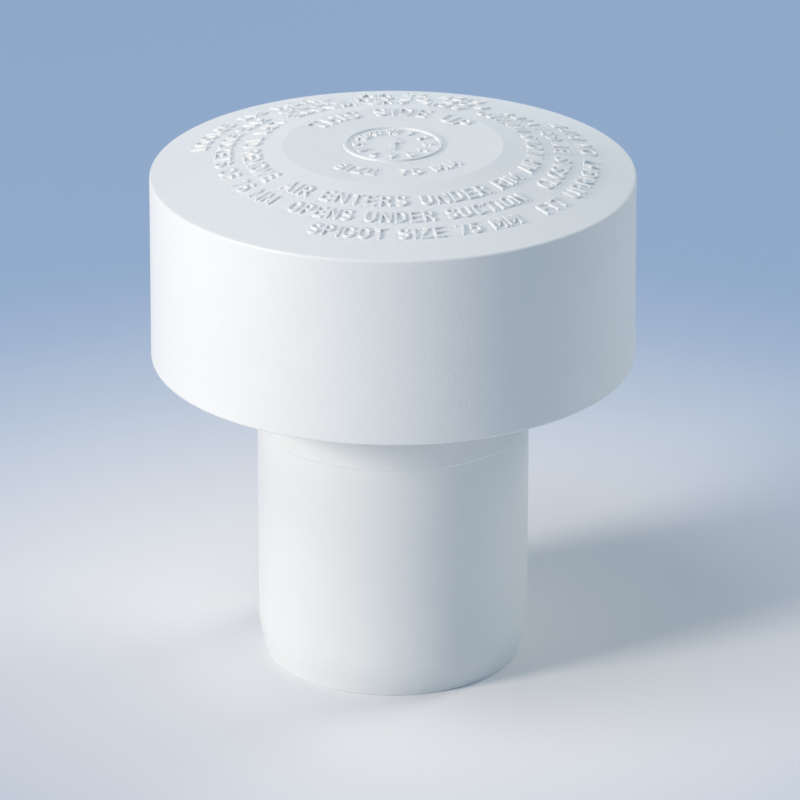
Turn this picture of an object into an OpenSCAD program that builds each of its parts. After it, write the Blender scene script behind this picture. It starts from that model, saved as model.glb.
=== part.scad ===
// Air admittance valve: a drain vent that gravity holds shut and suction in the pipe lifts open.
// The end of the spigot lies on z = 0 and the axis of the pipe is the z axis, all in millimetres.

/* [Spigot] */
// Outside diameter of the spigot, a push fit in a pipe socket
spigot_d = 75; // [68:0.5:80]
// Wall of the spigot
spigot_wall = 3; // [2.4:0.1:3.6]
// Length that enters the socket, up to the collar
spigot_l = 68; // [50:1:100]
// Length of the tapered lead-in at the end of the spigot
lead_in_l = 8; // [4:0.5:14]
// Length of the lead-in that is rounded into the spigot
lead_in_blend = 3.5; // [1:0.5:3.5]
// Wall left at the tip of the lead-in
tip_wall = 1; // [0.6:0.1:1.8]
// Rounding of the outer edge of the tip
tip_round = 0.3; // [0.1:0.1:0.5]
// Step in radius from the spigot up to the collar
collar_step = 0.45; // [0.2:0.05:1]
// Height of collar that shows below the cap
collar_show = 20; // [12:0.5:35]

/* [Cap] */
// Diameter of the cap at its rim
cap_d = 132.2; // [126:0.2:150]
// Growth in radius from the rim down to the foot of the skirt
cap_draft = 0.35; // [0:0.05:1]
// Height of the skirt, from its foot to the rim
cap_side_h = 52.2; // [49:0.2:70]
// Wall of the cap
cap_wall = 3; // [2.4:0.1:3.6]
// Rise of the sloping crown above the rim
crown_rise = 8; // [5:0.5:14]
// Diameter of the flat disc at the middle of the crown
crown_flat_d = 59.8; // [40:0.2:80]
// Rounding of the rim
rim_edge = 0.8; // [0.3:0.1:2]
// Rounding where the crown meets the flat disc
crown_edge = 1.5; // [1:0.5:8]
// Rounding of the foot of the skirt
foot_edge = 0.6; // [0.2:0.1:1]
// Fillet inside the cap, under the rim and under the flat disc
inner_fillet = 2; // [0.5:0.5:4]

/* [Raised dial on the cap] */
// Diameter of the raised ring on the flat disc
dial_d = 27; // [22:1:36]
// Width of the raised ring at its root
dial_ring_w = 1; // [0.8:0.1:1.5]
// Height of the raised ring above the flat disc
dial_relief = 0.6; // [0.4:0.1:1]
// Draft on each side of the raised ring
dial_draft = 0.1; // [0.05:0.05:0.2]

/* [Cap ribs and snap lugs] */
// Number of ribs under the crown and of snap lugs between them
rib_count = 8; // [4:1:12]
// Thickness of a rib
rib_t = 1.8; // [1.2:0.1:2.6]
// Depth of a rib below the crown
rib_depth = 4; // [2:0.5:5]
// Gap between a rib and the edge of the lifting membrane
rib_gap = 1.2; // [0.6:0.1:1.6]
// Sweep of a snap lug, in degrees
lug_sweep = 16; // [8:1:22]
// Reach of a snap lug under the seat ring
lug_bite = 1.6; // [0.8:0.1:2]
// Height of a snap lug
lug_h = 4; // [3:0.5:6]
// Flat land at the nose of a snap lug
lug_land = 0.8; // [0.4:0.1:1.5]

/* [Seat ring and air inlet] */
// Distance from the foot of the skirt up to the seat ring
inlet_depth = 11; // [8:0.5:14]
// Height of the seat ring
ring_h = 9; // [8:0.5:12]
// Width of the seat ring
ring_w = 8.6; // [8:0.1:10]
// Rise of both seats above the seat ring
seat_h = 5; // [4:0.5:7]
// Wall of the outer seat
seat_t = 2.4; // [2.2:0.1:3]
// Rounding on both edges of a seat
seat_round = 0.9; // [0.4:0.1:1]
// Depth of the groove for the cap seal
groove_d = 2.4; // [1.8:0.1:2.8]
// Height of the groove for the cap seal
groove_h = 3.4; // [2.6:0.1:4]
// Rounding of the cap seal's section
seal_round = 0.8; // [0.2:0.1:1]
// Wall behind that groove
groove_back = 2; // [1.6:0.1:2.4]
// Thickness of the seat ring above its moulded recess
ring_roof = 2.6; // [2:0.1:3.5]
// Number of webs that carry the seat ring
web_count = 8; // [4:1:12]
// Thickness of a web
web_t = 2.4; // [1.6:0.1:3.2]
// Height of a web
web_h = 6; // [4:0.5:7]

/* [Insect screen] */
// Thickness of the screen
screen_t = 1.8; // [1.2:0.1:2]
// Width of the screen's inner and outer rims
screen_rim = 2.2; // [1.5:0.1:3]
// Number of rings of slots
slot_rings = 5; // [3:1:6]
// Width of the thin rings between the slots
screen_bar = 0.9; // [0.6:0.1:1.2]
// Number of radial bars
screen_spokes = 16; // [8:1:20]
// Thickness of the radial bars
spoke_t = 1.2; // [0.8:0.1:1.6]
// Height of the radial bars
spoke_h = 1; // [0.6:0.1:1.1]
// Snap bead on the collar that holds the screen up
screen_bead = 0.6; // [0.4:0.1:0.9]

/* [Lifting valve] */
// Lift of the valve from its seats
lift = 10; // [6:0.5:12]
// Thickness of the rubber membrane
membrane_t = 1.6; // [1.2:0.1:2.4]
// Rounding of the membrane's outer edges
membrane_round = 0.5; // [0.1:0.1:0.5]
// Reach of the membrane past the outer seat
membrane_over = 2; // [1:0.1:2.4]
// Thickness of the carrier plate
plate_t = 2; // [1.6:0.1:3]
// Distance from the edge of the membrane in to the edge of the plate
plate_back = 0.6; // [0.3:0.1:1.5]
// Height of the rim and the neck above the plate
plate_rim_h = 3; // [2:0.5:4]
// Height of the ribs above the plate
plate_rib_h = 2.2; // [1:0.1:2.8]
// Thickness of that rim and those ribs
plate_rib_t = 1.6; // [1.2:0.1:2.4]
// Number of ribs on the plate
plate_ribs = 8; // [4:1:12]
// Width of the clamp ring under the membrane
clamp_w = 7; // [5:0.5:9]
// Thickness of the clamp ring
clamp_t = 2.4; // [1.8:0.1:3]
// Rounding of the clamp ring's lower edge
clamp_round = 0.6; // [0.2:0.1:1]
// Gap between the clamp ring and the bore of the spigot
pass_gap = 1.5; // [1:0.1:2.5]
// Wall of the neck inside the clamp ring
neck_wall = 2; // [1.6:0.1:2.6]
// Snap bead on the neck that holds the clamp ring up
neck_bead = 0.5; // [0.3:0.1:0.8]

/* [Guide] */
// Diameter of the guide pin
pin_d = 6; // [5:0.5:8]
// Chamfer on the ends of the guide pin
pin_chamfer = 0.6; // [0.3:0.1:1.2]
// Length of pin held in the cap's boss
pin_grip = 10; // [7:0.5:11]
// Length of pin that stands out below the sleeve at rest
pin_tail = 3; // [1.5:0.5:4]
// Wall of the cap's boss
boss_wall = 3; // [2:0.1:4]
// Wall of the guide sleeve
sleeve_wall = 2; // [1.5:0.1:3]
// Height of the sleeve above the underside of the plate
sleeve_up = 8; // [6:0.5:9]
// Depth of the sleeve below the underside of the plate
sleeve_down = 8; // [6:0.5:10]
// Number of arms from the neck to the sleeve
arm_count = 4; // [3:1:6]
// Thickness of an arm
arm_t = 2.4; // [1.6:0.1:3]
// Height of an arm
arm_h = 5; // [3:0.5:6]

/* [Fits] */
// Gap between pieces that are fitted together
fit_gap = 0.15; // [0.05:0.05:0.3]
// Gap between the resting membrane and its seats
rest_gap = 0.2; // [0.1:0.05:0.4]
// Gap left between the sleeve and the boss at full lift
stop_gap = 0.3; // [0.2:0.05:0.6]
// Gap between the guide pin and its sleeve
guide_gap = 0.3; // [0.15:0.05:0.5]

/* [Hidden] */
$fn = 96;

moulding_white = "#f1f4f6";
inner_white = "#e4e8ea";
rubber_black = "#3a3c3e";
pin_steel = "#b9bec2";

// Straight pieces on each rounded corner of an outline
corner_steps = 5;
// Overlap that joins a rib, web or boss to the wall that carries it
bite = 1;

// Radii of the spigot, its lead-in and heights of the cap
spigot_r = spigot_d / 2;
bore_r = spigot_r - spigot_wall;
hub_r = spigot_r + collar_step;
lead_in_angle = atan((spigot_wall - tip_wall) / lead_in_l);
lead_in_round = lead_in_blend / tan(lead_in_angle / 2);
foot_z = spigot_l + collar_show;
rim_z = foot_z + cap_side_h;
top_z = rim_z + crown_rise;
cap_r = cap_d / 2;
crown_flat_r = crown_flat_d / 2;
crown_slope = crown_rise / (cap_r - crown_flat_r);

// Inside radius of the skirt at height z, and underside of the crown at radius r
function skirt_in_r(z) = cap_r + cap_draft * (rim_z - z) / cap_side_h - cap_wall;
function crown_under(r) = top_z - max(0, r - crown_flat_r) * crown_slope - cap_wall;

// Seat ring, groove and seats
ring_z = foot_z + inlet_depth;
ring_top = ring_z + ring_h;
seat_z = ring_top + seat_h;
ring_r = skirt_in_r(ring_top) - fit_gap;
ring_in_r = ring_r - ring_w;
groove_r = ring_r - groove_d;
groove_z = ring_z + (ring_h - groove_h) / 2;
web_z = ring_z + screen_t + fit_gap;

// Insect screen between the collar and the seat ring
screen_in_r = hub_r + fit_gap;
screen_out_r = ring_in_r - fit_gap;
screen_open = screen_out_r - screen_in_r - 2 * screen_rim;
slot_w = (screen_open - (slot_rings - 1) * screen_bar) / slot_rings;

// Lifting valve
membrane_z = seat_z + rest_gap;
plate_z = membrane_z + membrane_t;
membrane_r = ring_in_r + seat_t + membrane_over;
plate_r = membrane_r - plate_back;
clamp_r = bore_r - pass_gap;
neck_r = clamp_r - clamp_w;
neck_z = membrane_z - clamp_t - fit_gap - 2 * neck_bead;
stop_r = membrane_r + rib_gap;

// Guide pin, sleeve and boss
pin_r = pin_d / 2;
sleeve_in_r = pin_r + guide_gap;
sleeve_r = sleeve_in_r + sleeve_wall;
sleeve_z = plate_z - sleeve_down;
sleeve_top = plate_z + sleeve_up;
boss_r = pin_r + boss_wall;
boss_z = sleeve_top + lift + stop_gap;
pin_z = sleeve_z - pin_tail;
pin_top = boss_z + pin_grip;

// Outlines: a list of [radius, height, rounding] corners becomes a list of points
function unit(v) = v / norm(v);
function turned(v, a) = [v.x * cos(a) - v.y * sin(a), v.x * sin(a) + v.y * cos(a)];
function corner_arc(a, b, c, r) =
    let (
        u = unit(a - b),
        v = unit(c - b),
        half = acos(u * v) / 2,
        centre = b + unit(u + v) * r / sin(half),
        start = b + u * r / tan(half) - centre,
        end = b + v * r / tan(half) - centre,
        sweep = sign(cross(start, end)) * (180 - 2 * half)
    )
    [for (i = [0 : corner_steps]) centre + turned(start, sweep * i / corner_steps)];
function flat_point(p) = [p[0], p[1]];
function outline(p) = [
    for (i = [0 : len(p) - 1])
        let (
            a = flat_point(p[(i + len(p) - 1) % len(p)]),
            b = flat_point(p[i]),
            c = flat_point(p[(i + 1) % len(p)])
        )
        each p[i][2] == 0 ? [b] : corner_arc(a, b, c, p[i][2])
];

// A body of revolution from such a list of corners
module turned_part(corners, sweep = 360) {
    rotate_extrude(angle = sweep) polygon(outline(corners));
}

// A flat rib that stands in the plane of the axis, from a list of [radius, height] points
module radial_rib(points, thickness) {
    rotate([90, 0, 0]) linear_extrude(height = thickness, center = true) polygon(points);
}

// Copies round the axis, the first one at angle from
module ring_of(count, from = 0) {
    for (i = [0 : count - 1]) rotate([0, 0, from + i * 360 / count]) children();
}

// Ring with a rectangular section
module flat_ring(outer_r, inner_r, z, h) {
    turned_part([[inner_r, z, 0], [outer_r, z, 0], [outer_r, z + h, 0], [inner_r, z + h, 0]]);
}

// Outer shell of the cap: skirt, sloping crown and flat disc
module cap_shell() {
    under_rim_r = skirt_in_r(rim_z - cap_wall);
    turned_part([
        [0, top_z, 0],
        [crown_flat_r, top_z, crown_edge],
        [cap_r, rim_z, rim_edge],
        [cap_r + cap_draft, foot_z, foot_edge],
        [skirt_in_r(foot_z), foot_z, foot_edge],
        [under_rim_r, crown_under(under_rim_r), inner_fillet],
        [crown_flat_r, crown_under(crown_flat_r), inner_fillet],
        [0, crown_under(0), 0]
    ]);
}

// Raised ring on the flat disc, round the numbers of a dial
module dial_ring() {
    outer = dial_d / 2;
    inner = outer - dial_ring_w;
    turned_part([
        [inner, top_z - bite, 0],
        [outer, top_z - bite, 0],
        [outer, top_z, 0],
        [outer - dial_draft, top_z + dial_relief, 0],
        [inner + dial_draft, top_z + dial_relief, 0],
        [inner, top_z, 0]
    ]);
}

// Rib that stiffens the crown and runs down the skirt to stop on the seat ring
module cap_rib() {
    root_r = skirt_in_r(rim_z) + bite;
    stop_z = ring_top + fit_gap;
    radial_rib([
        [boss_r - bite, crown_under(0) + bite],
        [crown_flat_r, crown_under(crown_flat_r) + bite],
        [root_r, crown_under(root_r) + bite],
        [root_r, stop_z],
        [stop_r, stop_z],
        [stop_r, crown_under(stop_r) - rib_depth],
        [crown_flat_r, crown_under(crown_flat_r) - rib_depth],
        [boss_r - bite, crown_under(0) - rib_depth]
    ], rib_t);
}

// Wedge inside the skirt that the seat ring snaps over
module snap_lug() {
    lug_z = ring_z - fit_gap;
    root_r = skirt_in_r(lug_z) + bite;
    nose_r = ring_r - lug_bite;
    rotate([0, 0, -lug_sweep / 2]) turned_part([
        [nose_r, lug_z, 0],
        [root_r, lug_z, 0],
        [root_r, lug_z - lug_h, 0],
        [skirt_in_r(lug_z - lug_h) - fit_gap, lug_z - lug_h, 0],
        [nose_r, lug_z - lug_land, 0]
    ], lug_sweep);
}

module cap() {
    color(moulding_white) difference() {
        union() {
            cap_shell();
            dial_ring();
            translate([0, 0, boss_z]) cylinder(r = boss_r, h = crown_under(0) + bite - boss_z);
            ring_of(rib_count) cap_rib();
            ring_of(rib_count, 180 / rib_count) snap_lug();
        }
        translate([0, 0, boss_z - bite]) cylinder(r = pin_r + fit_gap, h = pin_grip + fit_gap + bite);
    }
}

// Round pin that the lifting valve slides on
module guide_pin() {
    color(pin_steel) turned_part([
        [0, pin_z, 0],
        [pin_r - pin_chamfer, pin_z, 0],
        [pin_r, pin_z + pin_chamfer, 0],
        [pin_r, pin_top - pin_chamfer, 0],
        [pin_r - pin_chamfer, pin_top, 0],
        [0, pin_top, 0]
    ]);
}

// Rubber ring that seals the seat ring in the skirt
module cap_seal_ring() {
    inner = groove_r + fit_gap;
    outer = skirt_in_r(groove_z + groove_h) - fit_gap;
    low = groove_z + fit_gap;
    high = groove_z + groove_h - fit_gap;
    color(rubber_black) turned_part([
        [inner, low, seal_round],
        [outer, low, seal_round],
        [outer, high, seal_round],
        [inner, high, seal_round]
    ]);
}

// Spigot with its lead-in, collar, snap bead and inner seat
module spigot_tube() {
    bead_top = ring_z - fit_gap;
    turned_part([
        [bore_r, 0, 0],
        [bore_r + tip_wall, 0, tip_round],
        [spigot_r, lead_in_l, lead_in_round],
        [spigot_r, spigot_l, 0],
        [hub_r, spigot_l + collar_step, 0],
        [hub_r, bead_top - 2 * screen_bead, 0],
        [hub_r + screen_bead, bead_top - screen_bead, 0],
        [hub_r + screen_bead, bead_top, 0],
        [hub_r, bead_top, 0],
        [hub_r, seat_z, seat_round],
        [bore_r, seat_z, seat_round]
    ]);
}

// Outer seat and its ring, recessed below and grooved round its edge
module seat_ring() {
    seat_r = ring_in_r + seat_t;
    turned_part([
        [ring_in_r, ring_z, 0],
        [seat_r, ring_z, 0],
        [seat_r, ring_top - ring_roof, 0],
        [groove_r - groove_back, ring_top - ring_roof, 0],
        [groove_r - groove_back, ring_z, 0],
        [ring_r, ring_z, 0],
        [ring_r, groove_z, 0],
        [groove_r, groove_z, 0],
        [groove_r, groove_z + groove_h, 0],
        [ring_r, groove_z + groove_h, 0],
        [ring_r, ring_top, 0],
        [seat_r, ring_top, 0],
        [seat_r, seat_z, seat_round],
        [ring_in_r, seat_z, seat_round]
    ]);
}

module valve_body() {
    web_l = ring_in_r - hub_r + 2 * bite;
    color(moulding_white) union() {
        spigot_tube();
        seat_ring();
        ring_of(web_count, 180 / web_count)
            translate([hub_r - bite, -web_t / 2, web_z]) cube([web_l, web_t, web_h]);
    }
}

// Slotted ring across the air inlet, held up under the webs
module insect_screen() {
    spoke_l = screen_out_r - screen_in_r - screen_rim;
    color(inner_white) union() {
        flat_ring(screen_in_r + screen_rim, screen_in_r, ring_z, screen_t);
        flat_ring(screen_out_r, screen_out_r - screen_rim, ring_z, screen_t);
        for (i = [1 : slot_rings - 1]) {
            bar_r = screen_in_r + screen_rim + i * (slot_w + screen_bar);
            flat_ring(bar_r, bar_r - screen_bar, ring_z, screen_t);
        }
        ring_of(screen_spokes, 180 / screen_spokes)
            translate([screen_in_r + screen_rim / 2, -spoke_t / 2, ring_z + (screen_t - spoke_h) / 2])
                cube([spoke_l, spoke_t, spoke_h]);
    }
}

// Carrier plate with its stiffening rim and the neck that passes the membrane
module carrier_plate() {
    plate_top = plate_z + plate_t;
    rim_top = plate_top + plate_rim_h;
    neck_in_r = neck_r - neck_wall;
    turned_part([
        [neck_in_r, neck_z, 0],
        [neck_r, neck_z, 0],
        [neck_r + neck_bead, neck_z + neck_bead, 0],
        [neck_r + neck_bead, neck_z + 2 * neck_bead, 0],
        [neck_r, neck_z + 2 * neck_bead, 0],
        [neck_r, plate_z, 0],
        [plate_r, plate_z, 0],
        [plate_r, rim_top, 0],
        [plate_r - plate_rib_t, rim_top, 0],
        [plate_r - plate_rib_t, plate_top, 0],
        [neck_r, plate_top, 0],
        [neck_r, rim_top, 0],
        [neck_in_r, rim_top, 0]
    ]);
}

module valve_disc() {
    rib_l = plate_r - plate_rib_t - neck_r + bite;
    arm_l = neck_r - neck_wall / 2 - sleeve_r + bite;
    color(inner_white) difference() {
        union() {
            carrier_plate();
            translate([0, 0, sleeve_z]) cylinder(r = sleeve_r, h = sleeve_down + sleeve_up);
            ring_of(plate_ribs, 180 / plate_ribs)
                translate([neck_r - bite / 2, -plate_rib_t / 2, plate_z + plate_t / 2])
                    cube([rib_l, plate_rib_t, plate_t / 2 + plate_rib_h]);
            ring_of(arm_count)
                translate([sleeve_r - bite, -arm_t / 2, membrane_z]) cube([arm_l, arm_t, arm_h]);
        }
        translate([0, 0, sleeve_z - bite]) cylinder(r = sleeve_in_r, h = sleeve_down + sleeve_up + 2 * bite);
    }
}

// Soft flat ring that lies across both seats
module seal_membrane() {
    color(rubber_black) turned_part([
        [neck_r + fit_gap, membrane_z, 0],
        [membrane_r, membrane_z, membrane_round],
        [membrane_r, plate_z, membrane_round],
        [neck_r + fit_gap, plate_z, 0]
    ]);
}

// Ring that snaps on the neck and clamps the membrane to the plate
module clamp_ring() {
    color(inner_white) turned_part([
        [neck_r + fit_gap, membrane_z - clamp_t, 0],
        [clamp_r, membrane_z - clamp_t, clamp_round],
        [clamp_r, membrane_z, 0],
        [neck_r + fit_gap, membrane_z, 0]
    ]);
}

cap();
guide_pin();
cap_seal_ring();
valve_body();
insect_screen();
valve_disc();
seal_membrane();
clamp_ring();
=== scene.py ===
import math

import bmesh
import bpy
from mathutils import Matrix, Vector


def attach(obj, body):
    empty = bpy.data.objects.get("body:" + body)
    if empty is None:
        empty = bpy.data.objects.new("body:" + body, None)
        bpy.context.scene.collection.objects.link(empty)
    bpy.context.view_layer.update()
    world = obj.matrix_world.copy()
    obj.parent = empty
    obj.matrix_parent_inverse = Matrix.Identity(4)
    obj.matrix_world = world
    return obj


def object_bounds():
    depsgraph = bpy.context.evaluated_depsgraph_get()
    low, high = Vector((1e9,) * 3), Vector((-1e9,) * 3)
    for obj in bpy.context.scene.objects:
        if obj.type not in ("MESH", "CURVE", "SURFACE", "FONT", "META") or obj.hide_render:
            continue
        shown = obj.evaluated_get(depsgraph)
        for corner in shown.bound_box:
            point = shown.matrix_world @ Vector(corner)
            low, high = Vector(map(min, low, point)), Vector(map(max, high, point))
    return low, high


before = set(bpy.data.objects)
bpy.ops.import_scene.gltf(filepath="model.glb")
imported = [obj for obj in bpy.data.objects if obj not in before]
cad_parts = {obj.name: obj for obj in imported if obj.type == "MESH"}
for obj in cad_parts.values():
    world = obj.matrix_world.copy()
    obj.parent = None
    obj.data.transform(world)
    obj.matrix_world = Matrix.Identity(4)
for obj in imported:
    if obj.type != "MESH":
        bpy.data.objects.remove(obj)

cad_low, cad_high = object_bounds()
scene = bpy.context.scene
MM = 0.001

# View of the photograph: long lens, looking along +Y and down
view_elevation = math.radians(22.76)
view_distance = 1571 * MM
view_target = Vector((1.9, 0, 73.3)) * MM
lens_mm = 256.3
sensor_mm = 36

# Floor: its seen tint fades from near to far between two distances from the axis. Half its side is in m.
floor_near = "eceef1"
floor_far = "9fb8d8"
fade_start = 50 * MM
fade_end = 320 * MM
floor_half = 4
# Even light from all round
sky_tint = "b6dcff"
sky_strength = 0.33

# Raised marks moulded on the cap, in strokes of one width with round ends.
# The root sinks into the cap, the draft is what a stroke gains and loses in width at its root and top.
mark_root = 0.4 * MM
mark_draft = 0.12 * MM
row_height = 4.8 * MM
row_stroke = 0.7 * MM
end_facets = 12
# Edges shorter than this are welded after the union
sliver = 0.005 * MM
# Height above the cap from which its upper face is measured
probe_gap = 10 * MM

# Rows of words on the sloping crown: radius in mm, angles where the row starts and ends, words.
# Angles are in degrees from the front, positive to the right, and the letters' tops face the axis.
crown_rows = [
    (38.6, -48, 60, "AIR ENTERS UNDER RIM"),
    (46.2, -36, 48, "OPENS UNDER SUCTION"),
    (53.9, -24, 38, "SPIGOT SIZE 75 MM"),
    (38.6, 66, 142, "AIR FLOWS INWARD"),
    (46.2, 60, 138, "CLOSES BY GRAVITY"),
    (53.9, 47, 124, "FIT UPRIGHT ON PIPE"),
    (38.6, 150, 226, "SOIL AND WASTE"),
    (46.2, 146, 222, "FOR DRAIN PIPES"),
    (53.9, 152, 190, "SIZE 75 MM"),
    (38.6, 234, 304, "LIFT TO REMOVE"),
    (46.2, 230, 317, "FITS SOCKETS OF 75 MM"),
    (53.9, 200, 261, "PUSH FIT SPIGOT"),
]

# Rows of words on the flat disc: radius in mm, angles where it starts and ends, letter height in mm, words.
# The back row is measured from the back, and its letters' tops face outwards.
disc_back_row = (25.3, -58, 53, 5.4, "THIS SIDE UP")
disc_front_row = (22.3, -42, 50, 4.4, "SIZE  75 MM")

# Numbers in the raised ring, and an arrow among them that points to the back, with its outline in mm
dial_numbers = 12
dial_number_radius = 9.5 * MM
dial_number_height = 3.4 * MM
dial_number_stroke = 0.65 * MM
arrow_outline = [(-0.7, -4.6), (0.7, -4.6), (0.7, 0.6), (2.4, 0.6), (0, 5.0), (-2.4, 0.6), (-0.7, 0.6)]

# Gap after a letter, and the width of a space, as shares of the letter height
letter_gap = 0.36
space_width = 0.2
# Degrees that one straight piece of a curved stroke turns, and the fewest pieces in it
bow_turn = 25
bow_least = 3


def bow(x, y, rx, ry, start, end):
    """Points along an oval, from one angle to another in degrees."""
    steps = max(bow_least, round(abs(end - start) / bow_turn))
    turns = [math.radians(start + (end - start) * i / steps) for i in range(steps + 1)]
    return [(x + rx * math.cos(turn), y + ry * math.sin(turn)) for turn in turns]


# Centre lines of plain capitals and numbers, in a cell that is 1 high. A sharp corner starts a new stroke
LETTERS = {
    "A": [[(0, 0), (0.31, 1)], [(0.31, 1), (0.62, 0)], [(0.11, 0.34), (0.51, 0.34)]],
    "B": [[(0, 0), (0, 1)], [(0, 1), *bow(0.26, 0.77, 0.23, 0.23, 90, -90), (0, 0.54)],
          [(0, 0.54), *bow(0.27, 0.27, 0.27, 0.27, 90, -90), (0, 0)]],
    "C": [[*bow(0.28, 0.72, 0.28, 0.28, 25, 180), *bow(0.28, 0.28, 0.28, 0.28, 180, 335)]],
    "D": [[(0, 0), (0, 1)],
          [(0, 1), *bow(0.24, 0.7, 0.31, 0.3, 90, 0), *bow(0.24, 0.3, 0.31, 0.3, 0, -90), (0, 0)]],
    "E": [[(0, 0), (0, 1)], [(0, 1), (0.48, 1)], [(0, 0.52), (0.42, 0.52)], [(0, 0), (0.48, 0)]],
    "F": [[(0, 0), (0, 1)], [(0, 1), (0.48, 1)], [(0, 0.52), (0.42, 0.52)]],
    "G": [[*bow(0.28, 0.72, 0.28, 0.28, 25, 180), *bow(0.28, 0.28, 0.28, 0.28, 180, 360)],
          [(0.56, 0.28), (0.56, 0.46)], [(0.56, 0.46), (0.32, 0.46)]],
    "H": [[(0, 0), (0, 1)], [(0.56, 0), (0.56, 1)], [(0, 0.52), (0.56, 0.52)]],
    "I": [[(0, 0), (0, 1)]],
    "K": [[(0, 0), (0, 1)], [(0.52, 1), (0, 0.38)], [(0.16, 0.57), (0.54, 0)]],
    "L": [[(0, 0), (0, 1)], [(0, 0), (0.46, 0)]],
    "M": [[(0, 0), (0, 1)], [(0, 1), (0.35, 0.25)], [(0.35, 0.25), (0.7, 1)], [(0.7, 1), (0.7, 0)]],
    "N": [[(0, 0), (0, 1)], [(0, 1), (0.56, 0)], [(0.56, 0), (0.56, 1)]],
    "O": [[*bow(0.29, 0.71, 0.29, 0.29, 0, 180), *bow(0.29, 0.29, 0.29, 0.29, 180, 360), (0.58, 0.71)]],
    "P": [[(0, 0), (0, 1)], [(0, 1), *bow(0.25, 0.73, 0.27, 0.27, 90, -90), (0, 0.46)]],
    "R": [[(0, 0), (0, 1)], [(0, 1), *bow(0.25, 0.73, 0.27, 0.27, 90, -90), (0, 0.46)],
          [(0.25, 0.46), (0.54, 0)]],
    "S": [[*bow(0.26, 0.75, 0.26, 0.25, 25, 270), *bow(0.26, 0.25, 0.27, 0.25, 90, -155)]],
    "T": [[(0, 1), (0.54, 1)], [(0.27, 1), (0.27, 0)]],
    "U": [[(0, 1), *bow(0.28, 0.28, 0.28, 0.28, 180, 360), (0.56, 1)]],
    "V": [[(0, 1), (0.29, 0)], [(0.29, 0), (0.58, 1)]],
    "W": [[(0, 1), (0.21, 0)], [(0.21, 0), (0.42, 0.8)], [(0.42, 0.8), (0.63, 0)], [(0.63, 0), (0.84, 1)]],
    "Y": [[(0, 1), (0.28, 0.48)], [(0.56, 1), (0.28, 0.48)], [(0.28, 0.48), (0.28, 0)]],
    "Z": [[(0, 1), (0.52, 1)], [(0.52, 1), (0, 0)], [(0, 0), (0.52, 0)]],
    "0": [[*bow(0.25, 0.75, 0.25, 0.25, 0, 180), *bow(0.25, 0.25, 0.25, 0.25, 180, 360), (0.5, 0.75)]],
    "1": [[(0, 0.76), (0.22, 1)], [(0.22, 1), (0.22, 0)]],
    "2": [[*bow(0.25, 0.74, 0.25, 0.26, 165, -40), (0, 0)], [(0, 0), (0.5, 0)]],
    "3": [[*bow(0.24, 0.77, 0.23, 0.23, 150, -90), (0.18, 0.54)],
          [(0.18, 0.54), *bow(0.24, 0.27, 0.26, 0.27, 90, -150)]],
    "4": [[(0.38, 0), (0.38, 1)], [(0.38, 1), (0, 0.28)], [(0, 0.28), (0.54, 0.28)]],
    "5": [[(0.46, 1), (0.06, 1)], [(0.06, 1), (0.03, 0.55)],
          [(0.03, 0.55), *bow(0.24, 0.32, 0.26, 0.32, 110, -150)]],
    "6": [[*bow(0.25, 0.29, 0.25, 0.29, 150, -210)], [(0.36, 1), (0.03, 0.43)]],
    "7": [[(0, 1), (0.5, 1)], [(0.5, 1), (0.18, 0)]],
    "8": [[*bow(0.25, 0.76, 0.21, 0.24, 90, 450)], [*bow(0.25, 0.26, 0.25, 0.26, 90, 450)]],
    "9": [[*bow(0.25, 0.71, 0.25, 0.29, -30, 330)], [(0.14, 0), (0.47, 0.57)]],
}


def linear(hex_colour):
    """sRGB hex to the linear colour that a shader takes."""
    out = []
    for i in (0, 2, 4):
        c = int(hex_colour[i:i + 2], 16) / 255
        out.append(c / 12.92 if c <= 0.04045 else ((c + 0.055) / 1.055) ** 2.4)
    return (*out, 1.0)


def add(tree, kind, inputs=None, **settings):
    """Adds a node. An input is a plain value, or an output socket to link from."""
    node = tree.nodes.new(kind)
    for name, value in settings.items():
        setattr(node, name, value)
    for name, value in (inputs or {}).items():
        if isinstance(value, bpy.types.NodeSocket):
            tree.links.new(value, node.inputs[name])
        else:
            node.inputs[name].default_value = value
    return node


def per_mm(size_mm):
    """Texture scale that makes a pattern's features about size_mm wide."""
    return 1 / (size_mm * MM)


# Sockets of a Mix node in its colour mode: share, first and second colour, and the result
mix_share = 0
mix_first = 6
mix_second = 7
mix_result = 2

# Octaves of the patches and of the grain, the range that nearly all of their sum lies in, the bump's strength
patch_detail = 4.0
grain_detail = 2.0
sum_low = 0.7
sum_high = 1.3
bump_strength = 0.5


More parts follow.
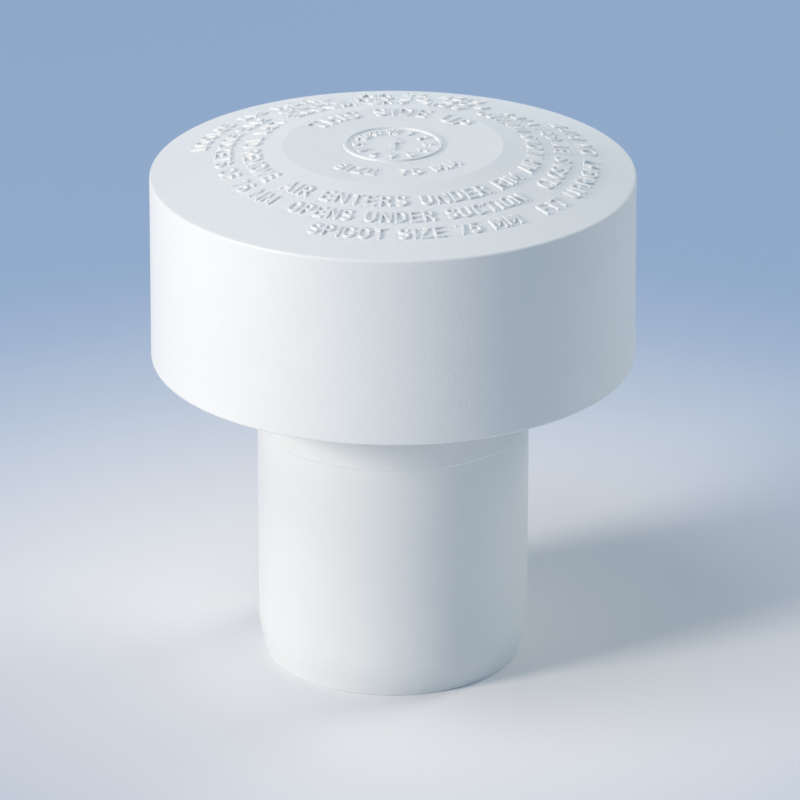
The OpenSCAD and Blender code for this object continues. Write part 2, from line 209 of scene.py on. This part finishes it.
def surface(name, light, dark, patch_mm, rough, grain_mm, depth_mm, stretch=1.0, metallic=0.0, ior=1.5):
    """Material with two close tints in soft patches, an uneven shine and a fine grain in relief."""
    material = bpy.data.materials.new(name)
    material.use_nodes = True
    tree = material.node_tree
    tree.nodes.clear()
    place = add(tree, "ShaderNodeTexCoord").outputs["Object"]
    along = add(tree, "ShaderNodeMapping", {"Vector": place, "Scale": (1, 1, stretch)}).outputs["Vector"]
    patch = add(
        tree, "ShaderNodeTexNoise",
        {"Vector": along, "Scale": per_mm(patch_mm), "Detail": patch_detail},
    )
    grain = add(
        tree, "ShaderNodeTexNoise",
        {"Vector": along, "Scale": per_mm(grain_mm), "Detail": grain_detail},
    )
    tint = add(
        tree, "ShaderNodeMix",
        {mix_share: patch.outputs["Fac"], mix_first: linear(light), mix_second: linear(dark)},
        data_type="RGBA",
    )
    mixed = add(tree, "ShaderNodeMath", {0: patch.outputs["Fac"], 1: grain.outputs["Fac"]}, operation="ADD")
    shine = add(
        tree, "ShaderNodeMapRange",
        {
            "Value": mixed.outputs[0],
            "From Min": sum_low,
            "From Max": sum_high,
            "To Min": rough[0],
            "To Max": rough[1],
        },
    )
    bump = add(
        tree, "ShaderNodeBump",
        {"Height": grain.outputs["Fac"], "Strength": bump_strength, "Distance": depth_mm * MM},
    )
    shader = add(
        tree, "ShaderNodeBsdfPrincipled",
        {
            "Base Color": tint.outputs[mix_result],
            "Metallic": metallic,
            "Roughness": shine.outputs["Result"],
            "IOR": ior,
            "Normal": bump.outputs["Normal"],
        },
    )
    add(tree, "ShaderNodeOutputMaterial", {"Surface": shader.outputs["BSDF"]})
    return material


# Each grain is drawn coarser than the real one, so that it shows.
# Cool white with a satin shine; the fine even grain of a spark-eroded mould dulls the highlights.
abs_white = surface(
    "ABS_moulded_satin_white", "eff3f4", "e7ecee",
    patch_mm=40, rough=(0.40, 0.50), grain_mm=0.5, depth_mm=0.12, ior=1.52,
)
# Greyer and waxier than the outer shell, as an inner moulding with no colour match.
inner_plastic = surface(
    "Polypropylene_moulded_plain", "dfe3e3", "d3d8d8",
    patch_mm=16, rough=(0.44, 0.56), grain_mm=0.6, depth_mm=0.02, ior=1.49,
)
# Near black and matt, with a pale dusty bloom in patches.
rubber = surface(
    "EPDM_rubber_matt_black", "25272a", "3b3d3f",
    patch_mm=6, rough=(0.62, 0.80), grain_mm=0.4, depth_mm=0.02,
)
# Grey metal with fine drawing lines along the pin.
steel = surface(
    "Stainless_steel_drawn", "c6cacd", "a8adb1",
    patch_mm=0.3, rough=(0.24, 0.38), grain_mm=0.2, depth_mm=0.005, stretch=0.02, metallic=1.0,
)


def studio_paper():
    """Matt paper, near white. What is seen of it fades to blue-grey, so that the crown stands out."""
    material = bpy.data.materials.new("Studio_paper_matt")
    material.use_nodes = True
    tree = material.node_tree
    tree.nodes.clear()
    place = add(tree, "ShaderNodeTexCoord").outputs["Object"]
    away = add(tree, "ShaderNodeVectorMath", {0: place}, operation="LENGTH").outputs["Value"]
    fade = add(
        tree, "ShaderNodeMapRange",
        {"Value": away, "From Min": fade_start, "From Max": fade_end},
        interpolation_type="SMOOTHSTEP",
    ).outputs["Result"]
    rays = add(tree, "ShaderNodeLightPath").outputs
    seen = add(
        tree, "ShaderNodeMath",
        {0: rays["Is Camera Ray"], 1: rays["Is Glossy Ray"]},
        operation="MAXIMUM",
    ).outputs[0]
    share = add(tree, "ShaderNodeMath", {0: fade, 1: seen}, operation="MULTIPLY").outputs[0]
    tint = add(
        tree, "ShaderNodeMix",
        {mix_share: share, mix_first: linear(floor_near), mix_second: linear(floor_far)},
        data_type="RGBA",
    )
    shader = add(
        tree, "ShaderNodeBsdfPrincipled",
        {"Base Color": tint.outputs[mix_result], "Roughness": 0.9, "Specular IOR Level": 0.1},
    )
    add(tree, "ShaderNodeOutputMaterial", {"Surface": shader.outputs["BSDF"]})
    return material


node_finish = {
    "cap": abs_white,
    "valve_body": abs_white,
    "valve_disc": inner_plastic,
    "clamp_ring": inner_plastic,
    "insect_screen": inner_plastic,
    "seal_membrane": rubber,
    "cap_seal_ring": rubber,
    "guide_pin": steel,
}
for node_name, finish in node_finish.items():
    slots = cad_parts[node_name].data.materials
    slots.clear()
    slots.append(finish)


def crown_height(radius):
    """Height of the cap's upper face at a radius."""
    start = Vector((radius, 0, cad_high.z + probe_gap))
    _, point, _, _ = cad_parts["cap"].ray_cast(start, Vector((0, 0, -1)))
    return point.z


# The slope is measured between the outermost and the innermost row
low_row, high_row = crown_rows[2][0] * MM, crown_rows[0][0] * MM
crown_slope = (crown_height(high_row) - crown_height(low_row)) / (low_row - high_row)
crown_apex = crown_height(high_row) + crown_slope * high_row
disc_height = crown_height(disc_back_row[0] * MM)
mark_relief = cad_high.z - disc_height


def raised_tree():
    """Sweeps flat centre lines into raised strokes with round ends and bends them round an arc."""
    tree = bpy.data.node_groups.new("Raised strokes", "GeometryNodeTree")
    tree.interface.new_socket("Centre Lines", in_out="INPUT", socket_type="NodeSocketGeometry")
    sizes = (
        "Stroke", "Draft", "Relief", "Root",
        "Arc Radius", "Arc Centre", "Tops In", "Apex Height", "Slope",
    )
    for name in sizes:
        tree.interface.new_socket(name, in_out="INPUT", socket_type="NodeSocketFloat")
    tree.interface.new_socket("Finish", in_out="INPUT", socket_type="NodeSocketMaterial")
    tree.interface.new_socket("Marks", in_out="OUTPUT", socket_type="NodeSocketGeometry")

    def maths(operation, first, second=0.0):
        return add(tree, "ShaderNodeMath", {0: first, 1: second}, operation=operation).outputs[0]

    given = add(tree, "NodeGroupInput").outputs
    depth = maths("ADD", given["Relief"], given["Root"])
    top_width = maths("SUBTRACT", given["Stroke"], given["Draft"])
    root_width = maths("ADD", given["Stroke"], given["Draft"])

    # The section's lower side comes out on top of the stroke
    lines = add(tree, "GeometryNodeMeshToCurve", {"Mesh": given["Centre Lines"]}).outputs[0]
    upright = add(tree, "GeometryNodeSetCurveNormal", {"Curve": lines}, mode="Z_UP").outputs[0]
    section = add(
        tree, "GeometryNodeCurvePrimitiveQuadrilateral",
        {"Height": depth, "Bottom Width": top_width, "Top Width": root_width, "Offset": 0.0},
        mode="TRAPEZOID",
    ).outputs[0]
    bars = add(
        tree, "GeometryNodeCurveToMesh",
        {"Curve": upright, "Profile Curve": section, "Fill Caps": True},
    ).outputs[0]

    end = add(
        tree, "GeometryNodeMeshCone",
        {
            "Vertices": end_facets,
            "Radius Top": maths("MULTIPLY", top_width, 0.5),
            "Radius Bottom": maths("MULTIPLY", root_width, 0.5),
            "Depth": depth,
        },
    ).outputs["Mesh"]
    sink = add(tree, "ShaderNodeCombineXYZ", {"Z": maths("MULTIPLY", depth, -0.5)}).outputs[0]
    low_end = add(tree, "GeometryNodeTransform", {"Geometry": end, "Translation": sink}).outputs[0]
    tips = add(tree, "GeometryNodeCurveEndpointSelection").outputs[0]
    ends = add(
        tree, "GeometryNodeInstanceOnPoints",
        {"Points": lines, "Selection": tips, "Instance": low_end},
    ).outputs[0]

    joined = add(tree, "GeometryNodeJoinGeometry")
    tree.links.new(bars, joined.inputs[0])
    tree.links.new(ends, joined.inputs[0])
    real = add(tree, "GeometryNodeRealizeInstances", {"Geometry": joined.outputs[0]}).outputs[0]
    whole = add(
        tree, "GeometryNodeMeshBoolean",
        {"Mesh 2": real, "Self Intersection": True},
        operation="UNION", solver="EXACT",
    ).outputs[0]

    spot = add(tree, "GeometryNodeInputPosition").outputs[0]
    flat = add(tree, "ShaderNodeSeparateXYZ", {0: spot}).outputs
    angle = maths("ADD", maths("DIVIDE", flat["X"], given["Arc Radius"]), given["Arc Centre"])
    radius = maths("SUBTRACT", given["Arc Radius"], maths("MULTIPLY", given["Tops In"], flat["Y"]))
    across = maths("MULTIPLY", radius, maths("SINE", angle))
    front = maths("MULTIPLY", maths("MULTIPLY", radius, maths("COSINE", angle)), given["Tops In"])
    lift = maths("MULTIPLY", maths("SUBTRACT", given["Relief"], given["Root"]), 0.5)
    crown = maths("SUBTRACT", given["Apex Height"], maths("MULTIPLY", radius, given["Slope"]))
    place = add(
        tree, "ShaderNodeCombineXYZ",
        {
            "X": across,
            "Y": maths("MULTIPLY", front, -1.0),
            "Z": maths("ADD", maths("ADD", flat["Z"], lift), crown),
        },
    ).outputs[0]
    bent = add(tree, "GeometryNodeSetPosition", {"Geometry": whole, "Position": place}).outputs[0]
    finished = add(
        tree, "GeometryNodeSetMaterial",
        {"Geometry": bent, "Material": given["Finish"]},
    ).outputs[0]
    add(tree, "NodeGroupOutput", {0: finished})
    return tree


raised_strokes = raised_tree()


def made_mesh(host):
    """Plain mesh of an object with its modifiers applied; the object is removed."""
    bpy.context.view_layer.update()
    depsgraph = bpy.context.evaluated_depsgraph_get()
    mesh = bpy.data.meshes.new_from_object(host.evaluated_get(depsgraph))
    bpy.data.objects.remove(host)
    return mesh


def centre_lines(words, height, stroke, width=None):
    """Flat edges along the middle of every stroke of a row of letters, centred on the origin."""
    rise = height - stroke
    lines, x = [], 0.0
    for letter in words:
        strokes = LETTERS.get(letter, [])
        lines += [[(x + px, py) for px, py in stroke_points] for stroke_points in strokes]
        x += max((px for points in strokes for px, _ in points), default=space_width) + letter_gap
    row_length = x - letter_gap
    across = (width - stroke) / row_length if width else rise
    spots, edges = [], []
    for line in lines:
        edges += [(len(spots) + i, len(spots) + i + 1) for i in range(len(line) - 1)]
        spots += [((px - row_length / 2) * across, (py - 0.5) * rise, 0) for px, py in line]
    mesh = bpy.data.meshes.new("centre_lines")
    mesh.from_pydata(spots, edges, [])
    return mesh


def raised(lines, stroke, radius, centre, tops_in, apex, slope):
    """Raised strokes bent round an arc. tops_in is 1 where letters' tops face the axis, and otherwise -1."""
    host = bpy.data.objects.new("marks", lines)
    scene.collection.objects.link(host)
    sweep = host.modifiers.new("strokes", "NODES")
    sweep.node_group = raised_strokes
    values = {
        "Stroke": stroke,
        "Draft": mark_draft,
        "Relief": mark_relief,
        "Root": mark_root,
        "Arc Radius": radius,
        "Arc Centre": math.radians(centre),
        "Tops In": tops_in,
        "Apex Height": apex,
        "Slope": slope,
        "Finish": abs_white,
    }
    for item in raised_strokes.interface.items_tree:
        if item.in_out == "INPUT" and item.name in values:
            sweep[item.identifier] = values[item.name]
    return made_mesh(host)


def heal(shape):
    """Takes out the slivers that the union leaves, closes what that opens and drops stray faces and edges."""
    bmesh.ops.remove_doubles(shape, verts=shape.verts, dist=sliver)
    bmesh.ops.dissolve_degenerate(shape, edges=shape.edges, dist=sliver)
    bmesh.ops.triangulate(shape, faces=shape.faces)
    bmesh.ops.dissolve_degenerate(shape, edges=shape.edges, dist=sliver)
    bmesh.ops.holes_fill(shape, edges=[edge for edge in shape.edges if edge.is_boundary])
    bmesh.ops.triangulate(shape, faces=shape.faces)
    stray = [face for face in shape.faces if not any(edge.is_manifold for edge in face.edges)]
    bmesh.ops.delete(shape, geom=stray, context="FACES")
    bmesh.ops.delete(shape, geom=[edge for edge in shape.edges if edge.is_wire], context="EDGES")


def one_piece(name, meshes):
    """Joins meshes in one object that rides on the housing."""
    shape = bmesh.new()
    for mesh in meshes:
        shape.from_mesh(mesh)
    heal(shape)
    joined = bpy.data.meshes.new(name)
    shape.to_mesh(joined)
    shape.free()
    joined.materials.append(abs_white)
    piece = bpy.data.objects.new(name, joined)
    scene.collection.objects.link(piece)
    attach(piece, "housing")


def row(radius_mm, start, end, height, words, tops_in, apex, slope):
    """One row of words that fills the arc from start to end."""
    radius = radius_mm * MM
    lines = centre_lines(words, height, row_stroke, math.radians(end - start) * radius)
    return raised(lines, row_stroke, radius, (start + end) / 2, tops_in, apex, slope)


def crown_words():
    rows = []
    for radius_mm, start, end, words in crown_rows:
        rows.append(row(radius_mm, start, end, row_height, words, 1.0, crown_apex, crown_slope))
    one_piece("crown_words", rows)


def arrow_mesh(low, high):
    """Flat arrow between two heights."""
    shape = bmesh.new()
    base = shape.faces.new([shape.verts.new((x * MM, y * MM, low)) for x, y in arrow_outline])
    grown = bmesh.ops.extrude_face_region(shape, geom=[base])
    for vertex in (v for v in grown["geom"] if isinstance(v, bmesh.types.BMVert)):
        vertex.co.z = high
    bmesh.ops.recalc_face_normals(shape, faces=shape.faces)
    mesh = bpy.data.meshes.new("arrow")
    shape.to_mesh(mesh)
    shape.free()
    return mesh


def disc_marks():
    marks = [arrow_mesh(disc_height - mark_root, disc_height + mark_relief)]
    for number in range(1, dial_numbers + 1):
        lines = centre_lines(str(number), dial_number_height, dial_number_stroke)
        turn = number * 360 / dial_numbers
        marks.append(raised(lines, dial_number_stroke, dial_number_radius, turn, -1.0, disc_height, 0.0))
    radius_mm, start, end, height_mm, words = disc_back_row
    marks.append(row(radius_mm, start, end, height_mm * MM, words, -1.0, disc_height, 0.0))
    radius_mm, start, end, height_mm, words = disc_front_row
    marks.append(row(radius_mm, start, end, height_mm * MM, words, 1.0, disc_height, 0.0))
    one_piece("disc_marks", marks)


crown_words()
disc_marks()


def soft_lamp(name, turn_deg, rise_deg, distance, size, watts, tint):
    """Square soft box that faces the valve, turned from the camera's side to the right. Lengths are in m."""
    lamp = bpy.data.lights.new(name, "AREA")
    lamp.shape = "SQUARE"
    lamp.size = size
    lamp.energy = watts
    lamp.color = linear(tint)[:3]
    holder = bpy.data.objects.new(name, lamp)
    turn, rise = math.radians(turn_deg), math.radians(rise_deg)
    away = Vector((math.sin(turn) * math.cos(rise), -math.cos(turn) * math.cos(rise), math.sin(rise)))
    holder.location = view_target + away * distance
    holder.rotation_mode = "QUATERNION"
    holder.rotation_quaternion = (-away).to_track_quat("-Z", "Y")
    scene.collection.objects.link(holder)


soft_lamp("key", turn_deg=-62, rise_deg=22, distance=2.0, size=0.45, watts=24.5, tint="fff0e0")
soft_lamp("top", turn_deg=-62, rise_deg=65, distance=2.0, size=1.0, watts=13, tint="fff6f2")
soft_lamp("rim", turn_deg=122, rise_deg=35, distance=1.8, size=0.7, watts=10, tint="fff6e4")
soft_lamp("back", turn_deg=180, rise_deg=8, distance=1.2, size=0.5, watts=0.9, tint="ffffff")


def studio():
    world = bpy.data.worlds.new("studio")
    world.use_nodes = True
    sky = world.node_tree.nodes["Background"]
    sky.inputs["Color"].default_value = linear(sky_tint)
    sky.inputs["Strength"].default_value = sky_strength
    scene.world = world
    shape = bmesh.new()
    bmesh.ops.create_grid(shape, x_segments=1, y_segments=1, size=floor_half)
    floor_mesh = bpy.data.meshes.new("floor")
    shape.to_mesh(floor_mesh)
    shape.free()
    floor_mesh.materials.append(studio_paper())
    floor = bpy.data.objects.new("floor", floor_mesh)
    scene.collection.objects.link(floor)


def camera():
    lens = bpy.data.cameras.new("view")
    lens.lens = lens_mm
    lens.sensor_width = sensor_mm
    holder = bpy.data.objects.new("view", lens)
    away = Vector((0, -math.cos(view_elevation), math.sin(view_elevation)))
    holder.location = view_target + away * view_distance
    holder.rotation_mode = "QUATERNION"
    holder.rotation_quaternion = (-away).to_track_quat("-Z", "Y")
    scene.collection.objects.link(holder)
    scene.camera = holder


studio()
camera()
scene.view_settings.view_transform = "Standard"
